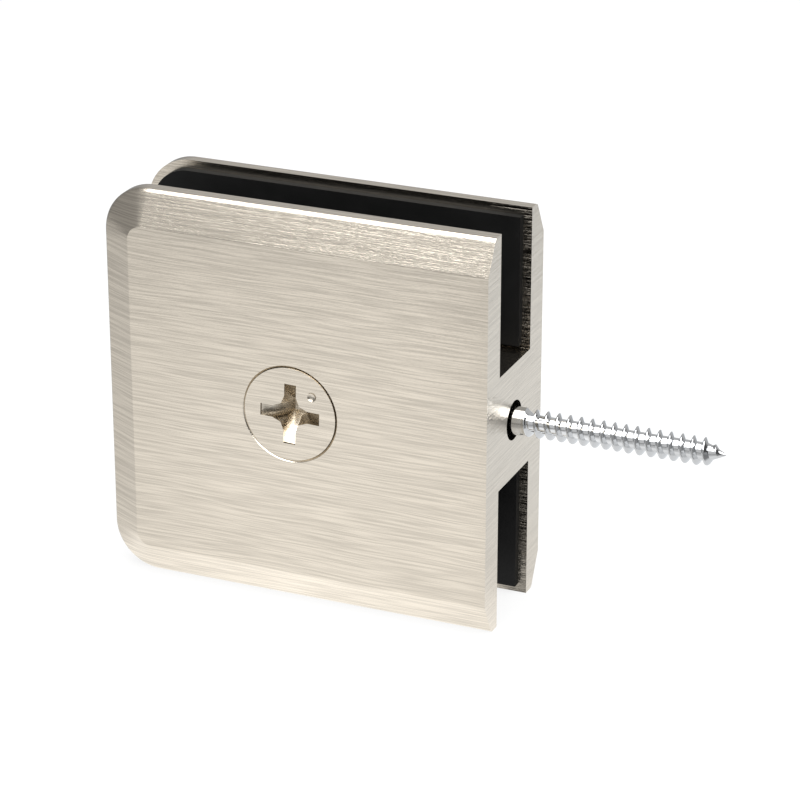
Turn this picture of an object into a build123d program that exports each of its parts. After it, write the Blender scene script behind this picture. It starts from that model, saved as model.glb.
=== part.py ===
from build123d import *
import math
import os

# A clamp that holds a fixed sheet of glass to a wall. Two square jaws with bevelled rims close on the
# sheet, each through a thin rubber pad. The rear jaw carries a web that reaches through a notch in
# the sheet and meets the wall. One screw crosses the web and pulls the jaws together, and another
# lies inside the web and goes into the wall.
# Lengths are in millimetres and angles in degrees. The origin is the centre of the wall face, on the
# wall screw's axis. +X points into the wall, +Z is up, and the front jaw is on the -Y side.

# Jaws
jaw_width = 51.1
jaw_height = 50.8
jaw_thickness = 4.0
edge_land = 1.75
bevel_width = 4.2
corner_radius = 6.0
face_round = 0.15
rim_round = 0.75

# Glass, pads and web
glass_thickness = 8.0
pad_thickness = 1.0
pad_margin = 1.1
pad_notch_gap = 0.5
web_height = 14.7
rear_skin = 1.4

# Clamp screw, an M6 machine screw with a countersunk head
clamp_diameter = 6.0
clamp_thread_depth = 0.61
clamp_head_diameter = 12.0
clamp_head_rim = 0.3
mouth_chamfer = 0.23
clamp_head_angle = 90
clamp_point = 0.8
clamp_tip_gap = 0.6
tapped_fit = 0.05
jaw_hole_gap = 0.3
head_gap = 0.05
clamp_recess_span = 7.8
clamp_recess_wing = 1.55
clamp_recess_depth = 3.5
recess_turn = 1.8
dimple_diameter = 1.2
dimple_depth = 0.3
dimple_offset = 4.0
dimple_turn = 42.7

# Wall screw, a No. 6 wood screw with a pan head
wall_length = 31.75
wall_seat = 5.0
wall_diameter = 3.45
wall_root_diameter = 2.15
wall_pitch = 1.408
wall_shank_diameter = 3.5
wall_shank_length = 6.3
wall_shoulder = 1.1
wall_ridge_base = 0.8
wall_thread_start = 6.1
wall_run_out = 1.0
wall_cone_length = 2.4
wall_taper_length = 1.4
wall_head_diameter = 6.86
wall_head_height = 2.3
wall_head_side = 0.8
wall_recess_span = 4.0
wall_recess_wing = 1.1
wall_recess_depth = 1.9
wall_hole_diameter = 5.0
head_bore_gap = 0.32

# One overrun for every cut
overrun = 1.0

# Form of a cross recess: where its wings end, flare and meet, in shares of its own half span and depth
lip_share = 0.1
foot_share = 0.2
floor_share = 0.97
neck_share = 0.59
flare_share = 0.44
waist_share = 0.3
# Form of a thread, a screw's point and a pan head, in shares of the radius that each belongs to
ridge_bed_share = 0.15
ridge_sink_share = 0.85
waist_taper_share = 0.67
crown_share = 0.5
dome_share = 0.8

gap = glass_thickness + 2 * pad_thickness
bevel_depth = jaw_thickness - edge_land
front_face = -gap / 2 - jaw_thickness
clamp_x = -jaw_width / 2
web_radius = web_height / 2
clamp_radius = clamp_diameter / 2
clamp_length = gap + 2 * jaw_thickness - rear_skin - clamp_tip_gap
clamp_head_radius = clamp_head_diameter / 2
wall_axis = Plane(origin=(-wall_seat, 0, 0), x_dir=(0, 1, 0), z_dir=(1, 0, 0))
clamp_axis = Plane(origin=(clamp_x, front_face, 0), x_dir=(1, 0, 0), z_dir=(0, 1, 0))
rear_side = Plane(origin=(0, gap / 2, 0), x_dir=(1, 0, 0), z_dir=(0, 1, 0))
front_side = Plane(origin=(0, -gap / 2, 0), x_dir=(1, 0, 0), z_dir=(0, -1, 0))
rear_seat = Plane(origin=(0, gap / 2, 0), x_dir=(1, 0, 0), z_dir=(0, -1, 0))
front_seat = Plane(origin=(0, -gap / 2, 0), x_dir=(1, 0, 0), z_dir=(0, 1, 0))


def rod(radius, start, end):
    """A round bar along z from start to end."""
    return Pos(0, 0, start) * extrude(Circle(radius), end - start)


def turned(*points):
    """A solid turned about z from its half section, given as (radius, height) points."""
    outline = [(0, points[0][1]), *points]
    if points[-1][0] > 0:
        outline.append((0, points[-1][1]))
    return revolve(Plane.XZ * make_face(Polyline(*outline, close=True)), Axis.Z)


def wall_side_trim(height, depth, place):
    """A block that takes away everything beyond place on the wall side."""
    block = Box(jaw_width + overrun, height + 2 * overrun, depth + 2 * overrun)
    return Pos(place + (jaw_width + overrun) / 2, 0, depth / 2) * block


def jaw_plate():
    """One jaw, its inner face at z = 0. The bevel runs out through the wall side, which is square."""
    outline = RectangleRounded(2 * jaw_width, jaw_height, corner_radius)
    slope = math.degrees(math.atan2(bevel_width, bevel_depth))
    land = extrude(outline, edge_land)
    rim = extrude(Pos(0, 0, edge_land) * outline, bevel_depth, taper=slope)
    plate = land + rim
    plate = fillet(plate.edges().group_by(Axis.Z)[-1], face_round)
    plate = fillet(plate.edges().filter_by_position(Axis.Z, edge_land, edge_land), rim_round)
    return plate - wall_side_trim(jaw_height, jaw_thickness, 0)


def web_outline(grow):
    """The web from the wall side to its round end about the clamp screw, grown by a gap all round."""
    radius = web_radius + grow
    straight = Pos(clamp_x / 2, 0) * Rectangle(-clamp_x, 2 * radius)
    return straight + Pos(clamp_x, 0) * Circle(radius)


def pad():
    """A rubber pad, its seat on the jaw at z = 0, notched round the web and open at the wall side."""
    width = 2 * (jaw_width - pad_margin)
    outline = RectangleRounded(width, jaw_height - 2 * pad_margin, corner_radius - pad_margin)
    sheet = extrude(outline, pad_thickness)
    notch = Pos(0, 0, -overrun) * extrude(web_outline(pad_notch_gap), pad_thickness + 2 * overrun)
    return sheet - notch - wall_side_trim(jaw_height, pad_thickness, -pad_margin)


def star(scale, height, neck, wing, flare):
    """The outline of a recess's flared centre: across the root of each wing, and in between them."""
    corner = flare * math.cos(math.radians(45))
    quarter = [(neck, -wing / 2), (neck, wing / 2), (corner, corner)]
    points = []
    for turn in range(4):
        points += [Rotation(0, 0, 90 * turn) * Pos(x * scale, y * scale) for x, y in quarter]
    return Pos(0, 0, height) * make_face(Polyline(*[point.position for point in points], close=True))


def cross_recess(span, wing, depth):
    """The cutter of a cross recess that opens at z = 0 and goes down towards +z."""
    reach = span / 2
    lip = (reach, depth * lip_share)
    foot = (reach * foot_share, depth * floor_share)
    right = [(0, depth), foot, lip, (reach, -overrun)]
    left = [(-x, z) for x, z in reversed(right[1:])]
    blade = extrude(Plane.XZ * make_face(Polyline(*right, *left, close=True)), wing / 2, both=True)
    form = (reach * neck_share, wing, reach * flare_share)
    mouth_scale = 1 + (1 - waist_share) * overrun / depth
    flare = loft([star(mouth_scale, -overrun, *form), star(waist_share, depth, *form)], ruled=True)
    return Rotation(0, 0, recess_turn) * (blade + Rotation(0, 0, 90) * blade + flare)


def helical_ridge(start, end):
    """The wall screw's right-handed ridge about z, sunk into the root that it stands on."""
    root = wall_root_diameter / 2
    crest = wall_diameter / 2
    bed = root * ridge_bed_share
    sink = root * ridge_sink_share
    foot = wall_ridge_base / 2 * (crest - sink) / (crest - root)
    side = [(bed, -foot), (sink, -foot), (crest, 0), (sink, foot), (bed, foot)]
    section = Plane.XZ * make_face(Polyline(*side, close=True))
    return Pos(0, 0, start) * sweep(section, Helix(wall_pitch, end - start, root), is_frenet=True)


def rear_jaw():
    """The rear jaw and its web in one piece, with the wall screw's way in and the tapped hole."""
    plate = rear_side * jaw_plate()
    web = front_side * Pos(0, 0, -gap) * extrude(web_outline(0), gap)
    screw_hole = wall_axis * rod(wall_hole_diameter / 2, -overrun, wall_seat + overrun)
    bore_start = clamp_x - web_radius + wall_seat - overrun
    head_bore = wall_axis * rod(wall_head_diameter / 2 + head_bore_gap, bore_start, 0)
    tapped = clamp_axis * rod(clamp_radius + tapped_fit, 0, clamp_length + clamp_tip_gap)
    return plate + web - screw_hole - head_bore - tapped


def clamp_head(grow):
    """The countersunk head in outline, grown all round by a gap: its radius, neck, rim and depth."""
    radius = clamp_head_radius + grow
    neck = clamp_radius + grow
    fall = (radius - neck) / math.tan(math.radians(clamp_head_angle / 2))
    return radius, neck, clamp_head_rim, clamp_head_rim + fall


def front_jaw():
    """The front jaw with the clamp screw's countersunk hole, its mouth broken by a small chamfer."""
    radius, neck, rim, bottom = clamp_head(head_gap)
    mouth = (radius + mouth_chamfer + overrun, -overrun)
    sink = turned(mouth, (radius, mouth_chamfer), (radius, rim), (neck, bottom))
    hole = rod(clamp_radius + jaw_hole_gap, 0, jaw_thickness + overrun)
    return front_side * jaw_plate() - clamp_axis * (sink + hole)


def clamp_screw():
    """The machine screw, flush with the front face, with a dimple punched beside its recess."""
    radius, neck, rim, bottom = clamp_head(0)
    core = clamp_radius - clamp_thread_depth
    tip = clamp_length - clamp_point
    blank = turned((radius, 0), (radius, rim), (neck, bottom), (neck, tip), (core, clamp_length))
    bowl = (dimple_diameter ** 2 / 4 + dimple_depth ** 2) / (2 * dimple_depth)
    dimple = Rotation(0, 0, -dimple_turn) * Pos(dimple_offset, 0, dimple_depth - bowl) * Sphere(bowl)
    recess = cross_recess(clamp_recess_span, clamp_recess_wing, clamp_recess_depth)
    return clamp_axis * (blank - recess - dimple)


def pan_head(radius, height, side):
    """A low domed head that stands on z = 0 and rises towards -z."""
    crown = radius * crown_share
    outline = Polyline((crown, -height), (0, -height), (0, 0), (radius, 0), (radius, -side))
    dome = RadiusArc((radius, -side), (crown, -height), -radius * dome_share)
    return revolve(Plane.XZ * make_face(outline + dome), Axis.Z)


def wall_screw():
    """The wood screw. Its thread is two stretches that meet after whole turns, and the second one
    runs out along the point."""
    root = wall_root_diameter / 2
    shank = wall_shank_diameter / 2
    taper_start = wall_length - wall_cone_length
    waist = (root * waist_taper_share, wall_length - wall_taper_length)
    shoulder = (root, wall_shank_length + wall_shoulder)
    body = [(shank, 0), (shank, wall_shank_length), shoulder, (root, taper_start), waist]
    blank = turned(*body, (0, wall_length))
    point = turned((shank, 0), (shank, taper_start), (0, wall_length))
    whole_turns = math.floor((taper_start - wall_thread_start) / wall_pitch)
    meet = wall_thread_start + whole_turns * wall_pitch
    threaded = (blank + helical_ridge(meet, wall_length - wall_run_out)) & point
    threaded += helical_ridge(wall_thread_start, meet)
    head = pan_head(wall_head_diameter / 2, wall_head_height, wall_head_side)
    recess = cross_recess(wall_recess_span, wall_recess_wing, wall_recess_depth)
    return wall_axis * (threaded + head - Pos(0, 0, -wall_head_height) * recess)


os.makedirs("parts", exist_ok=True)
pieces = {
    "rear_jaw": rear_jaw(),
    "front_jaw": front_jaw(),
    "rear_gasket": rear_seat * pad(),
    "front_gasket": front_seat * pad(),
    "clamp_screw": clamp_screw(),
    "wall_screw": wall_screw(),
}
for name, piece in pieces.items():
    export_step(piece, f"parts/{name}.step")
    print(name, round(piece.volume, 1), piece.bounding_box())
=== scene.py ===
# %% [markdown]
# A glass panel clamp. Two square jaws of brushed nickel hold a sheet of glass between black rubber
# pads, a countersunk screw pulls the jaws together, and a wood screw fixes the clamp to a wall.
# The measured model comes first: every piece of it stays where it is, at its real size, and the
# cells below give it its finishes, threads, studio and camera.

# %% The measured model
import math

import bmesh
import bpy
from mathutils import Matrix, Vector


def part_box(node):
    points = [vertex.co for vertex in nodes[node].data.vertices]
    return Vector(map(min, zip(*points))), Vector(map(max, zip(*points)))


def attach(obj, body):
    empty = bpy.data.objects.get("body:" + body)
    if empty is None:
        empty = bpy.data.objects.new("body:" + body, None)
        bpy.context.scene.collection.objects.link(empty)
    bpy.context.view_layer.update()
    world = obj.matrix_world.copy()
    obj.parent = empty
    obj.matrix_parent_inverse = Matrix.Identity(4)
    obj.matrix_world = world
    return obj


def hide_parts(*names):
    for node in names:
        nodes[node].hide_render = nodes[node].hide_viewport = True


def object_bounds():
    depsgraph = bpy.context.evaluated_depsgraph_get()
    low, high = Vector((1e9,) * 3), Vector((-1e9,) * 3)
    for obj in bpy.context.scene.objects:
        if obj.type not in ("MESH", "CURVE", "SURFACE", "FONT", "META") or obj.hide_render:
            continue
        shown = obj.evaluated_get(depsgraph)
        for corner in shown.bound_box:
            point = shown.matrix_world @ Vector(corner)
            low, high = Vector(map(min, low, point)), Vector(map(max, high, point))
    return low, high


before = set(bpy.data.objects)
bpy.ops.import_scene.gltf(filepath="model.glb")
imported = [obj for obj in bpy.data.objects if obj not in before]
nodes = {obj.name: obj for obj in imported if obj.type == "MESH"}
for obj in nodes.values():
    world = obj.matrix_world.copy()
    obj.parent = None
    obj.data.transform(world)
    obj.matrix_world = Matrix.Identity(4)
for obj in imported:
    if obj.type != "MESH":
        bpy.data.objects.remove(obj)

cad_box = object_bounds()
mm = 0.001
print("pieces:", ", ".join(sorted(nodes)))

# %% [markdown]
# Several finishes share the same sums: stretched noise, masks, and mixes of two colours. Nodes can
# be wired one link at a time, which is long and hard to read. Here one small class wraps a socket,
# so that an expression such as 1 - mask adds its own Math node, and one method adds any other node.


# %% Shader sums as expressions
class Value:
    """A socket that carries a number. Each operator adds one Math node."""

    def __init__(self, shader, socket):
        self.shader = shader
        self.socket = socket

    def maths(self, operation, *values):
        result = self.shader.add("Math", {"operation": operation}, dict(enumerate(values)))
        return Value(self.shader, result)

    def __add__(self, other):
        return self.maths("ADD", self, other)

    def __sub__(self, other):
        return self.maths("SUBTRACT", self, other)

    def __rsub__(self, other):
        return self.maths("SUBTRACT", other, self)

    def __mul__(self, other):
        return self.maths("MULTIPLY", self, other)

    def __truediv__(self, other):
        return self.maths("DIVIDE", self, other)

    def __gt__(self, other):
        return self.maths("GREATER_THAN", self, other)

    def __abs__(self):
        return self.maths("ABSOLUTE", self)

    __radd__ = __add__
    __rmul__ = __mul__


class Shader:
    """The node tree of a material or of the world."""

    def __init__(self, owner):
        owner.use_nodes = True
        self.tree = owner.node_tree
        self.tree.nodes.clear()

    def socket(self, sockets, key):
        if isinstance(key, int):
            return sockets[key]
        return next(s for s in sockets if key in (s.identifier, s.name))

    def add(self, kind, settings=None, inputs=None, out=0):
        """Adds a node: its type, its settings, then its sockets' values or links. Returns one output."""
        node = self.tree.nodes.new("ShaderNode" + kind)
        for name, value in (settings or {}).items():
            setattr(node, name, value)
        for key, value in (inputs or {}).items():
            target = self.socket(node.inputs, key)
            value = getattr(value, "socket", value)
            if isinstance(value, bpy.types.NodeSocket):
                self.tree.links.new(value, target)
            else:
                target.default_value = value
        return self.socket(node.outputs, out) if node.outputs else None

    def number(self, *args, **kwargs):
        """Adds a node and wraps its output, for use in sums."""
        return Value(self, self.add(*args, **kwargs))

    def split(self, vector):
        separate = self.add("SeparateXYZ", {}, {0: vector}).node
        return [Value(self, socket) for socket in separate.outputs]

    def join(self, x, y, z):
        return self.add("CombineXYZ", {}, {0: x, 1: y, 2: z})

    def blend(self, share, first, second):
        """A mix of two numbers."""
        inputs = {"Factor_Float": share, "A_Float": first, "B_Float": second}
        return self.number("Mix", {"data_type": "FLOAT"}, inputs, out="Result_Float")

    def colours(self, share, first, second):
        """A mix of two colours."""
        inputs = {"Factor_Float": share, "A_Color": first, "B_Color": second}
        return self.add("Mix", {"data_type": "RGBA"}, inputs, out="Result_Color")

    def fit(self, value, low, high, to_low=0.0, to_high=1.0):
        """A number moved from one range to another, held at its ends."""
        inputs = {"Value": value, 1: low, 2: high, 3: to_low, 4: to_high}
        return self.number("MapRange", {"clamp": True}, inputs)


print("shader helpers:", ", ".join(name for name in vars(Shader) if not name.startswith("_")))

# %% [markdown]
# The jaws are brushed nickel. An abrasive belt ran along them, so the front, the bevels and the top
# and bottom edges have fine lines along the jaw, and the wall side has them across its thickness.
# A picture of brushed metal could be wrapped round the jaw, but it would stretch on the bevels.
# Noise that is long one way and short the other, in millimetres on the piece itself, keeps its
# scale everywhere, and the piece's own normal says which way the lines run on each face. The inner
# faces next to the wall have coarse lines, and their colour is darkened: a painted shade for the
# shadow in the slot and the black pads that they mirror.

# %% Lines of a brushed face
facing_share = 0.8
inner_reach = 5.05 * mm
coarse_and_shade_start = -6 * mm
coarse_and_shade_full = -2 * mm


def brushed_places(shader):
    """Distances along and across the brushing in millimetres, where a face is square, and where it is
    fine and free of painted shade.
    """
    x, y, z = shader.split(shader.add("TexCoord", out="Object"))
    nx, _, nz = shader.split(shader.add("TexCoord", out="Normal"))
    square_end = abs(nx) > facing_share
    edge_land = abs(nz) > facing_share
    along = shader.blend(square_end, x, y) * (1 / mm)
    across = shader.blend(edge_land, z, y) * (1 / mm)
    # Inside the slot and next to the wall the mask is 0: coarse lines, and the colour takes the painted
    # shade.
    fine_unshaded = shader.blend(square_end, abs(y) > inner_reach, 1.0)
    fine_unshaded = shader.blend(edge_land, fine_unshaded, 1.0)
    fine_unshaded = shader.blend(shader.fit(x, coarse_and_shade_start, coarse_and_shade_full), 1.0, fine_unshaded)
    return along, across, square_end, fine_unshaded


def lines(shader, along, across, length, width, seed):
    """Noise in lines of a length and a width in millimetres, from 0 to 1."""
    place = shader.join(along * (1 / length), across * (1 / width), seed)
    return shader.number("TexNoise", {}, {"Vector": place, "Scale": 1.0, "Detail": 1.0})


print("inner faces lie within", round(inner_reach / mm, 2), "mm of the middle")

# %% [markdown]
# Three sets of lines make the brushed face: long scratches, shorter ones, and a fine grain that
# spreads the light across them. They sway a little, as the belt did. The lines could be painted in
# the colour alone, but real scratches tilt the surface, so most of the effect is a bump, and the
# colour changes only a little with it. The square wall side has deeper lines and less grain.

# %% Brushed nickel
bump_height = 0.02 * mm
sway_reach = 0.8
long_share = 0.4
mid_share = 0.25
fine_share = 0.45
coarse_low_share = 0.3
coarse_high_share = 2.9
end_fine_share = 0.2
end_depth_share = 3.2
end_squeeze_share = 1.3
end_tone_share = 0.6
long_tone_share = 0.55
mid_tone_share = 0.45
# The first share is a painted shade for the slot's inner faces. The other two are the streaks' own tone.
painted_shade_and_tone_shares = (0.42, 0.85, 1.11)


def brushed_metal(name, colour, seed):
    material = bpy.data.materials.new(name)
    shader = Shader(material)
    along, across, square_end, fine_unshaded = brushed_places(shader)
    across = across * shader.blend(square_end, 1.0, end_squeeze_share)
    sway = lines(shader, along, across, length=18.0, width=7.0, seed=seed + 31.0) * sway_reach
    lane = across + sway
    long_lines = lines(shader, along, lane, length=14.0, width=0.26, seed=seed)
    mid_lines = lines(shader, along, lane, length=6.0, width=0.15, seed=seed + 7.0)
    fine_lines = lines(shader, along, across, length=0.7, width=0.06, seed=seed + 13.0)
    coarse = shader.fit(long_lines, 0.47, 0.53, coarse_low_share, coarse_high_share)
    fine_depth = shader.blend(fine_unshaded, coarse, fine_share)
    fine_depth = shader.blend(square_end, fine_depth, end_fine_share)
    height = long_lines * long_share + mid_lines * mid_share + fine_lines * fine_depth
    height = height * shader.blend(square_end, 1.0, end_depth_share)
    tone = shader.fit(long_lines * long_tone_share + mid_lines * mid_tone_share, 0.4, 0.6)
    tone = (tone - 0.5) * shader.blend(square_end, 1.0, end_tone_share) + 0.5
    painted_shade, dark, light = [[channel * share for channel in colour] + [1.0] for share in painted_shade_and_tone_shares]
    bump = shader.add("Bump", {}, {"Strength": 1.0, "Distance": bump_height, "Height": height})
    surface = {
        # Where the mask is 0, the colour is the painted shade that stands in for the slot's shadow.
        "Base Color": shader.colours(fine_unshaded, painted_shade, shader.colours(tone, dark, light)),
        "Metallic": 1.0,
        "Roughness": shader.fit(mid_lines, 0.3, 0.7, 0.22, 0.16),
        "Normal": bump,
    }
    shader.add("OutputMaterial", {}, {"Surface": shader.add("BsdfPrincipled", {}, surface)})
    return material


nickel = (0.68, 0.62, 0.53)
jaw_metal = brushed_metal("brushed_nickel", nickel, 0.0)
screw_metal = brushed_metal("brushed_nickel_screw", nickel, 50.0)
print("brushed nickel:", len(jaw_metal.node_tree.nodes), "nodes")

# %% [markdown]
# The pads are thin black rubber, cut from a calendered sheet. Rubber is never one flat black: its
# skin has a fine grain and small matt patches. A uniform black would hide that, so a fine noise
# lifts the skin a little and changes its roughness.


# %% Pad rubber
def rubber(name):
    material = bpy.data.materials.new(name)
    shader = Shader(material)
    place = shader.add("TexCoord", out="Object")
    grain = shader.number("TexNoise", {}, {"Vector": place, "Scale": 5000.0, "Detail": 2.0})
    patches = shader.number("TexNoise", {}, {"Vector": place, "Scale": 260.0, "Detail": 3.0})
    bump = shader.add("Bump", {}, {"Strength": 0.5, "Distance": bump_height, "Height": grain})
    surface = {
        "Base Color": shader.colours(patches, (0.003, 0.003, 0.003, 1.0), (0.006, 0.006, 0.006, 1.0)),
        "Roughness": shader.fit(patches, 0.3, 0.7, 0.5, 0.62),
        "Specular IOR Level": 0.22,
        "Normal": bump,
    }
    shader.add("OutputMaterial", {}, {"Surface": shader.add("BsdfPrincipled", {}, surface)})
    return material


pad_rubber = rubber("pad_rubber")
print("rubber:", len(pad_rubber.node_tree.nodes), "nodes")

# %% [markdown]
# The wall screw is steel with bright zinc on it. Plating on a rolled thread is smooth but not a
# mirror: it has faint waves from the rolling and slightly duller spots. A perfect mirror would look
# like chrome, so two soft noises give both.


# %% Bright zinc
def zinc(name):
    material = bpy.data.materials.new(name)
    shader = Shader(material)
    place = shader.add("TexCoord", out="Object")
    waves = shader.number("TexNoise", {}, {"Vector": place, "Scale": 900.0, "Detail": 2.0})
    spots = shader.number("TexNoise", {}, {"Vector": place, "Scale": 2600.0, "Detail": 3.0})
    bump = shader.add("Bump", {}, {"Strength": 0.04, "Distance": bump_height, "Height": waves})
    surface = {
        "Base Color": shader.colours(spots, (0.68, 0.69, 0.7, 1.0), (0.76, 0.77, 0.78, 1.0)),
        "Metallic": 1.0,
        "Roughness": shader.fit(spots, 0.35, 0.65, 0.05, 0.1),
        "Normal": bump,
    }
    shader.add("OutputMaterial", {}, {"Surface": shader.add("BsdfPrincipled", {}, surface)})
    return material


wall_screw_metal = zinc("bright_zinc")
print("zinc:", len(wall_screw_metal.node_tree.nodes), "nodes")

# %% [markdown]
# The jaws and pads of the measured model already have the true shape, edge rounds included, so
# they only take a finish. Giving them a modifier or a copy would add nothing that shows.

# %% Finishes of the jaws and pads
finishes = {
    "rear_jaw": jaw_metal,
    "front_jaw": jaw_metal,
    "rear_gasket": pad_rubber,
    "front_gasket": pad_rubber,
}
for name, material in finishes.items():
    mesh = nodes[name].data
    mesh.materials.clear()
    mesh.materials.append(material)
    print(name, "is", material.name)

# %% [markdown]
# Both screws have rolled threads. A thread can be drawn as a bump, a screw modifier or a mesh. Here
# it is a mesh whose rows follow the helix: each row crosses one pitch from root to root over the
# crest, and the row one turn on starts where this one ends. So the crest is one clean line, and its
# rounding has vertices of its own. Rows past either end are pressed flat onto that end and merged.

# %% Shape of a thread
steps_per_turn = 48
lead_turns = 2
rolled_flank_shares = ((1.0, 0.0), (0.254, 0.902), (0.184, 0.957), (0.098, 0.989))
rolled_profile_shares = (
    *[(-place, height) for place, height in rolled_flank_shares],
    (0.0, 1.0),
    *reversed(rolled_flank_shares),
)


def between(place, points):
    """The value at a place on a line of straight stretches through (place, value) points."""
    for (start, low), (end, high) in zip(points, points[1:]):
        if place <= end:
            share = max(0.0, (place - start) / (end - start))
            return low + (high - low) * share
    return points[-1][1]


def add_thread(mesh, axes, pitch, crest_place, half_base, core, crest):
    """Adds a right-handed threaded bar to a mesh. Core and crest are (place, radius) points along it."""
    start, end = core[0][0], core[-1][0]
    out, side, forward = axes.col[0].to_3d(), axes.col[1].to_3d(), axes.col[2].to_3d()
    origin = axes.to_translation()
    shift = (crest_place - start) % pitch - pitch * lead_turns
    rows = int((end - start) / pitch + lead_turns + 1) * steps_per_turn
    profile = [(place * half_base, height) for place, height in rolled_profile_shares]
    profile.append((profile[0][0] + pitch, 0.0))
    grid = []
    for row in range(rows + 1):
        angle = math.tau * row / steps_per_turn
        direction = out * math.cos(angle) + side * math.sin(angle)
        middle = start + shift + pitch * row / steps_per_turn
        line = []
        for offset, height in profile:
            place = min(end, max(start, middle + offset))
            low = between(place, core)
            radius = low + max(0.0, between(place, crest) - low) * height
            line.append(mesh.verts.new(origin + forward * place + direction * radius))
        grid.append(line)
    for line, following in zip(grid, grid[1:]):
        for a, b, c, d in zip(line, line[1:], following[1:], following):
            mesh.faces.new((a, d, c, b))


print("points across one pitch:", len(rolled_profile_shares))

# %% [markdown]
# The heads, with their cross recesses, are true in the measured model. A new head could be made
# here, but it would be a second guess at the same shape. So each screw keeps its own head: a copy
# of the model's mesh is cut off below the head, and the threaded bar is bridged on.

# %% A screw from its head and its thread
weld_reach = 0.002 * mm
thread_weld_reach = 0.001 * mm
sliver_reach = 0.0005 * mm
smooth_angle = math.radians(32)


def head_of(node, place, axis):
    """The part of a node's mesh before a place along an axis, closed but for the cut."""
    mesh = bmesh.new()
    mesh.from_mesh(node.data)
    bmesh.ops.remove_doubles(mesh, verts=mesh.verts, dist=weld_reach)
    everything = mesh.verts[:] + mesh.edges[:] + mesh.faces[:]
    bmesh.ops.bisect_plane(mesh, geom=everything, plane_co=axis * place, plane_no=axis, clear_outer=True)
    return mesh


def open_ring(mesh, place, axis):
    """The open edges of a mesh that lie at a place along an axis."""
    def at_place(vertex):
        return abs(vertex.co.dot(axis) - place) < weld_reach
    return [edge for edge in mesh.edges if edge.is_boundary and all(at_place(v) for v in edge.verts)]


def screw_piece(name, node, body, material, cut, axes, thread):
    """Makes a piece from a node's own head and a threaded bar, in place of the node."""
    axis = axes.col[2].to_3d()
    start = thread["core"][0][0]
    mesh = head_of(node, cut, axis)
    add_thread(mesh, axes, **thread)
    thread_vertices = [v for v in mesh.verts if v.co.dot(axis) > start - thread_weld_reach]
    bmesh.ops.remove_doubles(mesh, verts=thread_vertices, dist=thread_weld_reach)
    bmesh.ops.dissolve_degenerate(mesh, edges=mesh.edges, dist=sliver_reach)
    bmesh.ops.bridge_loops(mesh, edges=open_ring(mesh, cut, axis) + open_ring(mesh, start, axis))
    bmesh.ops.holes_fill(mesh, edges=[edge for edge in mesh.edges if edge.is_boundary], sides=0)
    bmesh.ops.delete(mesh, geom=[edge for edge in mesh.edges if edge.is_wire], context="EDGES")
    bmesh.ops.recalc_face_normals(mesh, faces=mesh.faces)
    data = bpy.data.meshes.new(name)
    open_edges = sum(not edge.is_manifold for edge in mesh.edges)
    mesh.to_mesh(data)
    mesh.free()
    data.attributes.remove(data.attributes["custom_normal"])
    data.shade_smooth()
    data.set_sharp_from_angle(angle=smooth_angle)
    data.materials.clear()
    data.materials.append(material)
    piece = bpy.data.objects.new(name, data)
    bpy.context.collection.objects.link(piece)
    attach(piece, body)
    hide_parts(node.name)
    print(name, len(data.polygons), "faces,", open_edges, "open edges")


# %% [markdown]
# The wall screw is a wood screw: a coarse ridge on a thin root, rising out of a plain shank and
# running out along the point. With one radius all along, the ridge would start and stop in a step.
# So its core and its crest are lists of points, each a place and a radius in millimetres.

# %% The wall screw
wall_head_end = -0.6 * mm
wall_core = (
    (-0.4, 1.75), (1.3, 1.75), (2.4, 1.075), (24.35, 1.075), (25.35, 0.72), (26.75, 0.03))
wall_crest = (
    (-0.4, 1.75), (1.3, 1.75), (1.5, 1.725), (24.35, 1.725), (25.1, 1.17), (25.9, 0.45),
    (26.75, 0.03))
wall_thread = {
    "pitch": 1.408 * mm,
    "crest_place": 1.1 * mm,
    "half_base": 0.418 * mm,
    "core": [(place * mm, radius * mm) for place, radius in wall_core],
    "crest": [(place * mm, radius * mm) for place, radius in wall_crest],
}
wall_axes = Matrix(((0, 0, 1, 0), (1, 0, 0, 0), (0, 1, 0, 0), (0, 0, 0, 1)))
screw_piece(
    "wall_screw_threaded", nodes["wall_screw"], "fixing_screw",
    wall_screw_metal, wall_head_end, wall_axes, wall_thread)

# %% [markdown]
# The clamp screw is a machine screw with a fine thread. It shows only when the jaws are open, and
# a plain bar would do until then, but then it is what the eye looks for. The same function makes
# it, with a shorter pitch and a crest as wide as the plain shank that it replaces.

# %% The clamp screw
clamp_head_end = -5.45 * mm
clamp_core = ((-5.3, 3.0), (-5.1, 2.39), (7.0, 2.39))
clamp_crest = ((-5.3, 3.0), (6.2, 3.0), (7.0, 2.39))
clamp_thread = {
    "pitch": 1.0 * mm,
    "crest_place": 0.0,
    "half_base": 0.42 * mm,
    "core": [(place * mm, radius * mm) for place, radius in clamp_core],
    "crest": [(place * mm, radius * mm) for place, radius in clamp_crest],
}
middle = sum(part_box("clamp_screw"), Vector()) / 2
clamp_axes = Matrix(((0, 1, 0, middle.x), (0, 0, 1, 0), (1, 0, 0, 0), (0, 0, 0, 1)))
screw_piece(
    "clamp_screw_threaded", nodes["clamp_screw"], "clamping_screw",
    screw_metal, clamp_head_end, clamp_axes, clamp_thread)

# %% [markdown]
# The clamp stands on a plain white floor. The floor is part matt paint, which takes the clamp's
# soft shadow, and part plain white light for the camera and for reflections, so that the picture's
# background is white and the metal shows nearly the same white. A floor that is only paint would
# look grey, and one that is only light would lose the shadow.

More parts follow.
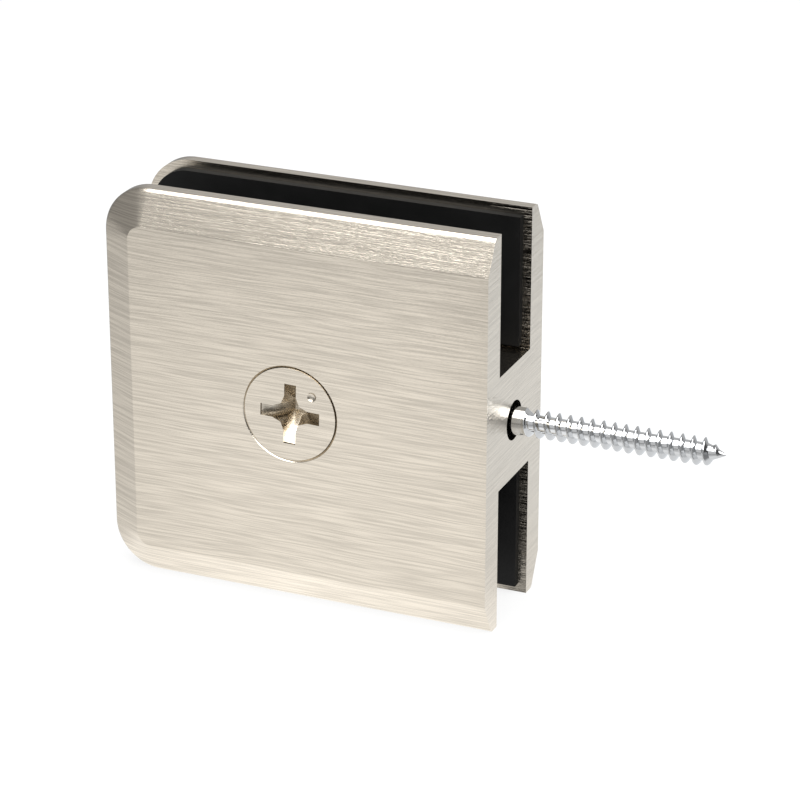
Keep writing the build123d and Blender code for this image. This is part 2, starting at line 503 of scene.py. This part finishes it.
# %% Floor
floor_reach = 1.5
floor_level = cad_box[0].z
floor_mesh = bpy.data.meshes.new("floor")
signs = ((-1, -1), (1, -1), (1, 1), (-1, 1))
corners = [(x * floor_reach, y * floor_reach, floor_level) for x, y in signs]
floor_mesh.from_pydata(corners, [], [(0, 1, 2, 3)])
floor = bpy.data.objects.new("floor", floor_mesh)
bpy.context.collection.objects.link(floor)
print("floor at", round(floor_level / mm, 2), "mm")

# %% [markdown]
# In a studio the floor is brightest in front of the piece and falls off around it, which shades the
# bevels and the thread. A lamp could do this, but it would also grey the background. Here only rays
# from a shiny surface see the fall: each line below is one bright or dark part of the floor, with
# its place in metres, and its level where full white is 1.

# %% Floor paint and its light
jaw_middle = -25 * mm
floor_material = bpy.data.materials.new("floor_white")
shader = Shader(floor_material)
camera_ray = shader.number("LightPath", out="Is Camera Ray")
glossy_ray = shader.number("LightPath", out="Is Glossy Ray")
x, y, _ = shader.split(shader.add("TexCoord", out="Object"))
from_jaw = x - jaw_middle
from_middle = shader.number("Math", {"operation": "SQRT"}, {0: from_jaw * from_jaw + y * y})

ahead = shader.fit(abs(y) / from_middle, 0.1, 0.9, 0.75, 1.01)
near = shader.fit(from_middle, 20 * mm, 120 * mm, 0.1, 0.0)
behind = shader.fit(y, 0.0, 30 * mm, 0.0, 0.12)
far_left = shader.fit(x, -80 * mm, -55 * mm, 0.07, 0.0)
under_depth = shader.fit(abs(y + 4 * mm), 5 * mm, 14 * mm, 0.34, 0.0)
under_length = shader.fit(abs(from_jaw), 26 * mm, 34 * mm, 1.0, 0.0)
pool = ahead + near - behind - far_left + under_depth * under_length

far = shader.fit(from_middle, 130 * mm, 260 * mm, 1.0, 0.4)
slant = 0.42
past_jaw = shader.fit(x - (y + 9 * mm) * slant, 4 * mm, 12 * mm)
beside = past_jaw * shader.fit(y, -45 * mm, -18 * mm, 0.5, 0.0)
past_screw = shader.fit(x, 60 * mm, 80 * mm, 0.0, 0.75)
past_screw = past_screw * shader.fit(abs(y - 8 * mm), 30 * mm, 70 * mm, 1.0, 0.0)
mirrored = pool * far * (1.0 - beside) * (1.0 - past_screw)

white = (1.0, 1.0, 1.0, 1.0)
cool_white = (0.97, 1.0, 1.035, 1.0)
tint = shader.colours(shader.fit(y, 0.0, 40 * mm) * glossy_ray, white, cool_white)
level = shader.blend(camera_ray, mirrored, 1.0)
light = shader.add("VectorMath", {"operation": "SCALE"}, {0: tint, "Scale": level})
glow = shader.add("Emission", {}, {"Color": light, "Strength": 1.0})
paint_grey = (0.86, 0.86, 0.86, 1.0)
paint = shader.add("BsdfDiffuse", {}, {"Color": paint_grey})
glossy_share = 0.95
camera_share = shader.fit(from_middle, 120 * mm, 300 * mm, 0.85, 1.0)
glow_share = camera_ray * camera_share + glossy_ray * glossy_share
mixed = shader.add("MixShader", {}, {0: glow_share, 1: paint, 2: glow})
shader.add("OutputMaterial", {}, {"Surface": mixed})
floor_mesh.materials.append(floor_material)
print("floor paint:", len(floor_material.node_tree.nodes), "nodes")

# %% [markdown]
# Metal looks like what it mirrors. A studio has a lit wall in front of the piece, a dimmer one
# behind it and dark sides, and the dark sides are what draws the edges of a polished thread. A
# picture of a studio could do this, but a few soft steps of direction are enough, and the world is
# white to the camera.

# %% Room
world = bpy.data.worlds.new("studio")
bpy.context.scene.world = world
shader = Shader(world)
side, behind, _ = shader.split(shader.add("TexCoord", out="Generated"))
walls = shader.fit(behind, -0.3, 0.3, 0.66, 0.56)
left_end = shader.fit(side, -0.62, -0.42, 0.5, 1.0)
right_end = shader.fit(side, 0.42, 0.75, 1.0, 0.15)
level = walls * left_end * right_end
room = shader.join(level, level, level)
camera_ray = shader.number("LightPath", out="Is Camera Ray")
light = shader.colours(camera_ray, room, white)
background = shader.add("Background", {}, {"Color": light, "Strength": 1.0})
shader.add("OutputWorld", {}, {"Surface": background})
print("room:", len(world.node_tree.nodes), "nodes")

# %% [markdown]
# One large soft box hangs over the piece. It draws the bright line along the top bevel's edge, the
# sparkle of the brushed bevel and the white patch on each root of the thread. Two smaller lamps
# could share this, but each root would then show two patches. The box hangs to the right, over the
# wall screw, and leans to the front.

# %% Lamp
lamp_place = Vector((0.2, -0.12, 0.58))
lamp_target = Vector((0.2, 0.0, 0.0))
soft_box = bpy.data.lights.new("soft_box", "AREA")
soft_box.shape = "RECTANGLE"
soft_box.size = 1.1
soft_box.size_y = 0.83
soft_box.energy = 11.4
lamp = bpy.data.objects.new("overhead", soft_box)
lamp.location = lamp_place
lamp.rotation_euler = (lamp_target - lamp_place).to_track_quat("-Z", "Y").to_euler()
bpy.context.collection.objects.link(lamp)
print("lamp:", round(soft_box.energy, 1), "W")

# %% [markdown]
# The camera stands to the right of the clamp's front and looks down on it. A wide lens from close
# by would make the near corner loom. A long lens keeps the sides nearly parallel, as in a catalogue.

# %% Camera
camera_azimuth = math.radians(23.07)
camera_elevation = math.radians(22.83)
camera_distance = 390 * mm
aim = Vector((-14.62, -0.69, 0.47)) * mm
back = Vector((
    math.sin(camera_azimuth) * math.cos(camera_elevation),
    -math.cos(camera_azimuth) * math.cos(camera_elevation),
    math.sin(camera_elevation),
))
lens = bpy.data.cameras.new("camera")
lens.lens = 144.39
lens.sensor_width = 36
lens.clip_start = 0.01
camera = bpy.data.objects.new("camera", lens)
camera.location = aim + back * camera_distance
camera.rotation_euler = (-back).to_track_quat("-Z", "Y").to_euler()
bpy.context.collection.objects.link(camera)
bpy.context.scene.camera = camera
bpy.context.scene.view_settings.view_transform = "Standard"
print("camera at", [round(c / mm, 1) for c in camera.location], "mm")

# %% [markdown]
